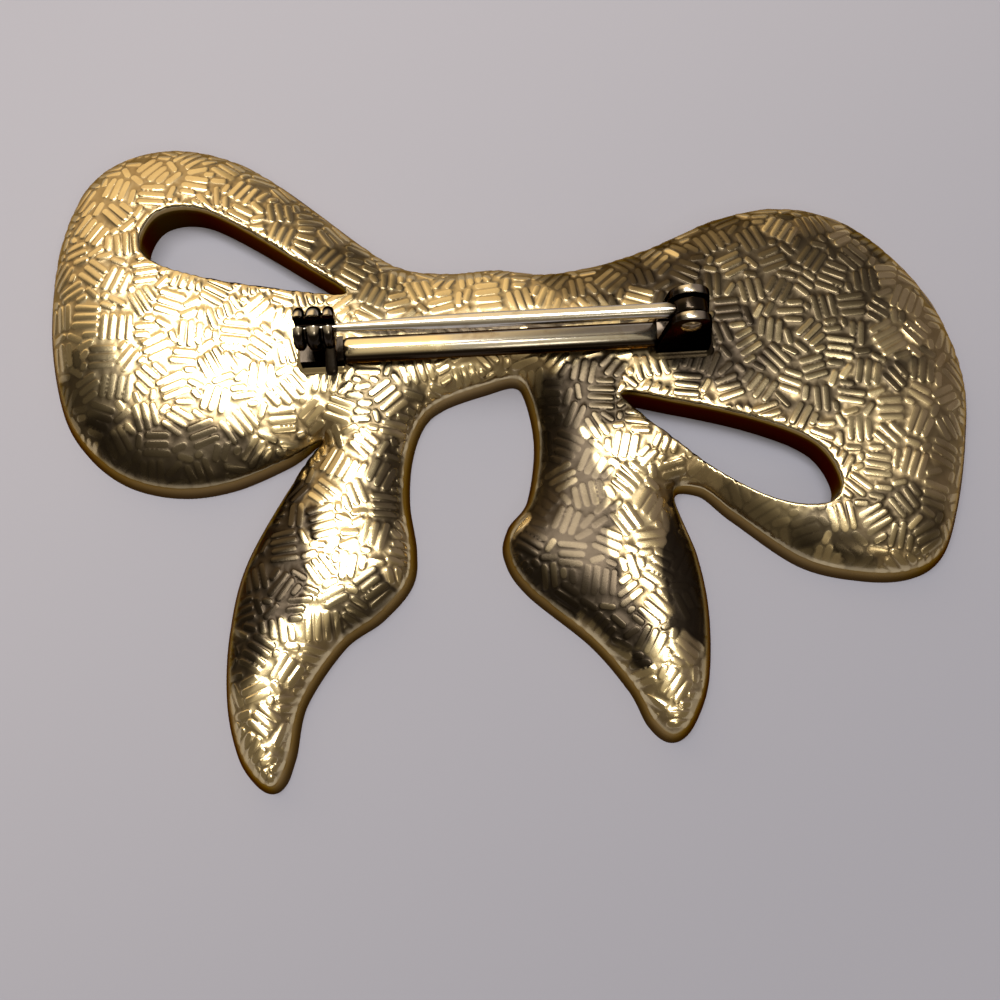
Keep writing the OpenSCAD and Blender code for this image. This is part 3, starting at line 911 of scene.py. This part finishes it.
# Crowned on top, rounded off by the catch, and let into the hinge
def makeBar():
    f, wide, thick = pinBack, pinBack["barWide"], pinBack["barThick"]
    rise = f["barCrown"] * wide
    left = -halfSpan + f["catchFoot"] / 2 - f["barUnderCatch"]
    right = halfSpan - f["earFoot"] / 2 + f["barUnderHinge"]
    section = [(-wide / 2, 0.0)]
    for k in range(13):
        y = -wide / 2 + wide * k / 12
        section.append((y, thick - rise + math.sqrt(max(rise ** 2 - y ** 2, 0))))
    section.append((wide / 2, 0.0))
    stations = [(left, 0.25)]
    for k in range(1, 6):
        a = math.pi / 2 * k / 5
        stations.append((left + f["barRoundEnd"] * (1 - math.cos(a)), math.sin(a) ** 0.7))
    stations.append((right, 1.0))
    verts, faces = [], []
    for x, share in stations:
        across = f["barEndWide"] + (1 - f["barEndWide"]) * share
        up = f["barEndThick"] + (1 - f["barEndThick"]) * share
        verts += [(x, y * across, barLow + z * up) for y, z in section]
    n = len(section)
    for s in range(len(stations) - 1):
        for k, m in around(n):
            faces.append((s * n + k, s * n + m, (s + 1) * n + m, (s + 1) * n + k))
    faces.append(tuple(reversed(range(n))))
    faces.append(tuple((len(stations) - 1) * n + k for k in range(n)))
    mesh = bpy.data.meshes.new("bar")
    mesh.from_pydata(verts, [], faces)
    return finishPiece("baseBar", mesh, barMetal, 0.05)


def makeHinge():
    lean = math.radians(pinBack["earLean"])
    r, foot = pinBack["earRound"], pinBack["earFoot"]
    shape = [(-foot / 2, barLow), (foot / 2, barLow), (foot / 2, barTop)]
    for k in range(19):
        a = lean + (math.pi - 2 * lean) * k / 18
        shape.append((r * math.cos(a), stemLevel + r * math.sin(a)))
    shape.append((-foot / 2, barTop))
    shape = [(halfSpan + x, z) for x, z in shape]
    gap, thick = pinBack["earGap"], pinBack["earThick"]
    ears = [slab(shape, side * (gap + thick) / 2 - thick / 2, side * (gap + thick) / 2 + thick / 2)
            for side in (-1, 1)]
    wide = gap / 2 + thick
    low = footLow(halfSpan, foot / 2, wide)
    base = brick((halfSpan - foot / 2, -wide, low), (halfSpan + foot / 2, wide, barTop))
    ears = finishPiece("hingeEars", combine(base, ears, "UNION"), catchMetal, 0.09, 3)
    return ears, solder("hingeSolder", halfSpan, (foot, 2 * wide), castGold)


def makeCatch():
    f, at = pinBack, (-halfSpan, 0, stemLevel)
    long, wide, foot = f["ringLong"] / 2, f["barWide"] / 2, f["catchFoot"] / 2
    ring = turned(roundedDisc(f["ringOuter"], long, f["ringRound"]), "X", 64, at)
    inX, inY = f["neckIn"]
    neck = brick((-halfSpan - long + inX, -wide + inY, barLow),
                 (-halfSpan + long - inX, wide - inY, stemLevel - f["neckUnder"]))
    low = footLow(-halfSpan, foot, wide)
    base = brick((-halfSpan - foot, -wide, low), (-halfSpan + foot, wide, barTop - f["catchFootDrop"]))
    mesh = combine(ring, [neck, base], "UNION")
    half = f["ringSlot"] / 2
    slot = brick((-halfSpan - 3, -half, stemLevel), (-halfSpan + 3, half, stemLevel + 3))
    mesh = combine(mesh, [bore(f["ringBore"], 3, "X", 64, at), slot], "DIFFERENCE")
    ring = finishPiece("catchRing", mesh, catchMetal, 0.05)
    return ring, solder("catchSolder", -halfSpan, (2 * foot, 2 * wide), castGold)


parts = [makeBar(), *makeHinge(), *makeCatch()]
for part in parts:
    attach(part, "brooch")
    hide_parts("bow")
print("pin back made")

stemForm = {
    "wire": 0.55, "tip": 0.3, "eye": 1.25, "eyeThick": 1.2, "eyeRound": 0.28, "bore": 0.51,
    "root": 0.60, "rootFrom": 0.5, "rootLong": 2.2, "taper": 10.0, "taperTurn": 1.3, "point": 0.12,
    "rivet": 0.45, "rivetHead": 0.75, "headHigh": 0.3,
}
# Along the finger tab: how far out, share of its width, share of its depth
rollerForm = {
    "body": 1.05, "bodyLong": 1.3, "bodyIn": 0.2, "flange": 1.55, "flangeThick": 0.8, "flangeRound": 0.38,
    "slot": 0.84, "dip": 20, "tabSides": 16, "tabSquare": 0.6,
    "tab": [(0.4, 1.0, 1.0), (1.2, 0.98, 0.92), (2.0, 1.02, 0.8), (2.7, 1.12, 0.82), (3.05, 1.1, 0.8),
            (3.3, 0.9, 0.62), (3.4, 0.5, 0.34)],
}
toHinge = Matrix.Translation(hingeAt) @ Matrix.Rotation(pinTurn, 4, "Z")
toCatch = Matrix.Translation(catchAt) @ Matrix.Rotation(pinTurn, 4, "Z")


# The stem's profile: root, straight part, long taper and point
def stemRows():
    f, thick = stemForm, rollerForm["flangeThick"]
    half = rollerForm["bodyLong"] / 2 + thick
    catchIn, tip = pinSpan - half, pinSpan + half - thick / 2
    root = f["eye"] + f["rootLong"]
    rows = [(0.0, 0.0), (f["root"], 0.0), (f["root"], f["rootFrom"])]
    for k in range(9):
        t = k / 8
        rows.append((f["root"] + (f["wire"] - f["root"]) * (t * t * (3 - 2 * t)),
                     f["rootFrom"] + (root - f["rootFrom"]) * t))
    shaft = catchIn - f["taper"]
    for k in range(11):
        t = k / 10
        rows.append((f["wire"] + (f["tip"] - f["wire"]) * t ** f["taperTurn"], shaft + (catchIn - shaft) * t))
    for k in range(1, 8):
        t = k / 7
        rows.append((f["tip"] + (f["point"] - f["tip"]) * t, catchIn + (tip - catchIn) * t))
    for k in range(1, 4):
        a = math.pi / 2 * k / 4
        rows.append((f["point"] * math.cos(a), tip + f["point"] * math.sin(a)))
    return rows + [(0.0, tip + f["point"])]


def makeStem():
    f = stemForm
    wire = turned(stemRows(), "Z", 32)
    wire.transform(Matrix.Rotation(-math.pi / 2, 4, "Y"))
    eye = turned(roundedDisc(f["eye"], f["eyeThick"] / 2, f["eyeRound"]), "Y", 48)
    mesh = combine(combine(eye, [wire], "UNION"), [bore(f["bore"], 2, "Y", 48)], "DIFFERENCE")
    return finishPiece("stemWire", mesh, stemMetal, where=toHinge)


def makeRivet():
    f, half = stemForm, pinBack["earGap"] / 2 + pinBack["earThick"]
    rows = [(0.0, -half - f["headHigh"])]
    for k in range(1, 6):
        a = math.pi / 2 * k / 5
        rows.append((f["rivetHead"] * math.sin(a), -half - f["headHigh"] * math.cos(a)))
    head = [(r, -a) for r, a in reversed(rows)]
    rows += [(f["rivet"], -half), (f["rivet"], half)] + head
    return finishPiece("hingeRivet", turned(rows, "Y", 40), rivetMetal, where=toHinge)


def makeRoller():
    f, thick, half = rollerForm, rollerForm["flangeThick"], rollerForm["bodyLong"] / 2
    at = half + thick / 2
    body = bore(f["body"], half + f["bodyIn"], "X", 64)
    sides = [turned(roundedDisc(f["flange"], thick / 2, f["flangeRound"]), "X", 64, (s * at, 0, 0))
             for s in (-1, 1)]

    def squared(part):
        return math.copysign(abs(part) ** f["tabSquare"], part)

    def tabShape(bm):
        rows = []
        for reach, wide, deep in f["tab"]:
            turns = [2 * math.pi * k / f["tabSides"] for k in range(f["tabSides"])]
            rows.append([bm.verts.new((at + squared(math.cos(a)) * thick / 2 * wide, -reach,
                                       squared(math.sin(a)) * thick / 2 * deep)) for a in turns])
        for low, high in zip(rows, rows[1:]):
            for k, m in around(f["tabSides"]):
                bm.faces.new([low[k], low[m], high[m], high[k]])
        bm.faces.new(rows[0][::-1])
        bm.faces.new(rows[-1])
        bmesh.ops.transform(bm, matrix=Matrix.Rotation(math.radians(f["dip"]), 4, "X"), verts=bm.verts)
    mesh = combine(body, sides + [solid(tabShape)], "UNION")
    slot = brick((-4, -f["slot"] / 2, 0), (4, f["slot"] / 2, 4))
    mesh = combine(mesh, [bore(f["slot"] / 2, 4, "X", 40), slot], "DIFFERENCE")
    return finishPiece("catchRoller", mesh, catchMetal, 0.03, where=toCatch)


for piece, node, body, slotName in (
        (makeStem(), "pin_stem", "stem", "pin_metal"),
        (makeRivet(), "hinge_rivet", "brooch", "rivet_metal"),
        (makeRoller(), "catch_lock", "lock", "lock_metal")):
    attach(piece, body)
    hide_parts(node)
print("stem, rivet and roller made")

# Directions are the x and y of a unit vector from the brooch towards the light; sizes are in metres
stageLook = {
    "floor": (0.389, 0.390, 0.457), "floorShaded": (0.286, 0.294, 0.360), "floorTurn": 50.0,
    "floorSpread": 0.055, "floorHalf": 1.5, "room": (0.17, 0.14, 0.10),
    "right": (0.20, 0.165, 0.155), "rightX": (0.1, 0.4), "rightY": (-0.25, 0.1),
    "upperLeft": (1.15, 0.88, 0.54), "upperLeftX": (0.25, -0.1), "upperLeftY": (0.33, 0.43),
    "glow": (0.52, 0.45, 0.33), "glowAt": (0.03, -0.12), "glowReach": (0.7, 0.35), "glowZ": (0.0, 0.2),
    "lightsAway": 0.45,
}
lights = [
    {"name": "softbox", "towards": (-0.07, 0.14), "size": (0.115, 0.36), "turn": 30, "radiance": 14.0,
     "colour": (1.0, 0.97, 0.92)},
    {"name": "sideLight", "towards": (0.18, 0.10), "size": (0.055, 0.080), "turn": 0, "radiance": 14.0,
     "colour": (1.0, 0.97, 0.92)},
    {"name": "lowLight", "towards": (0.28, -0.66), "size": (0.12, 0.07), "turn": 0, "radiance": 3.5,
     "colour": (1.0, 0.90, 0.75)},
]


def makeFloor():
    mesh, half = bpy.data.meshes.new("floor"), stageLook["floorHalf"]
    corners = [(i * half, j * half, 0) for i, j in ((-1, -1), (1, -1), (1, 1), (-1, 1))]
    mesh.from_pydata(corners, [], [(0, 1, 2, 3)])
    f = Finish("floorPaper")
    rotated = f.node("ShaderNodeMapping", None, {
        "Vector": f.place, "Rotation": (0, 0, math.radians(stageLook["floorTurn"]))})
    reach = stageLook["floorSpread"]
    # painted shade: the paper turns from its own tone to a darker one across a band, a painted falloff of the
    # light
    tone = f.mix(f.between(f.axis(rotated, 0), -reach, reach) + 0.05 * f.noise(9.0, 3.0),
                 stageLook["floor"], stageLook["floorShaded"])
    mesh.materials.append(f.feed(Base_Color=tone, Roughness=0.75, Specular_IOR_Level=0.2))
    addToScene("floor", mesh)


# The room is dim, brown grey to the right and bright to the upper left, with a soft glow overhead
class Room(Finish):
    def __init__(self):
        self.begin(bpy.data.worlds.new("room"), "Background", "Generated")

    def paint(self, look):
        x, y, z = [self.axis(self.place, number) for number in range(3)]
        right = self.between(y, *look["rightY"]) * self.between(x, *look["rightX"])
        upperLeft = self.between(y, *look["upperLeftY"]) * self.between(x, *look["upperLeftX"])
        offX, offY = x - look["glowAt"][0], y - look["glowAt"][1]
        glow = self.between((offX * offX + offY * offY) ** 0.5, *look["glowReach"])
        glow = glow * self.between(z, *look["glowZ"])
        tone = self.mix(right, look["room"], look["right"])
        tone = self.mix(upperLeft, tone, look["upperLeft"])
        return self.feed(Color=self.mix(glow, tone, look["glow"]), Strength=1.0)


def areaLight(name, towards, size, turn, radiance, colour):
    lamp = bpy.data.lights.new(name, "AREA")
    lamp.shape, lamp.size, lamp.size_y, lamp.color = "RECTANGLE", *size, colour
    lamp.energy = radiance * math.pi * size[0] * size[1]
    x, y = towards
    at = Vector((x, y, math.sqrt(1 - x * x - y * y))) * stageLook["lightsAway"]
    aim = (-at).to_track_quat("-Z", "Y").to_matrix().to_4x4()
    holder = addToScene(name, lamp)
    holder.matrix_world = Matrix.Translation(at) @ aim @ Matrix.Rotation(math.radians(turn), 4, "Z")


makeFloor()
bpy.context.scene.world = Room().paint(stageLook)
for light in lights:
    areaLight(**light)

view = {"target": (-0.38, -3.62, 0.0), "tilt": 75.0, "away": 104.0, "angle": 40.0}
camera = bpy.data.cameras.new("camera")
camera.angle = math.radians(view["angle"])
camera.clip_start = 0.005
eye = addToScene("camera", camera)
tilt = math.radians(view["tilt"])
target = Vector(view["target"]) * mm
eye.location = target + Vector((0, -math.cos(tilt), math.sin(tilt))) * view["away"] * mm
eye.rotation_euler = (target - eye.location).to_track_quat("-Z", "Y").to_euler()
bpy.context.scene.camera = eye
bpy.context.scene.view_settings.view_transform = "Standard"
print("stage set")
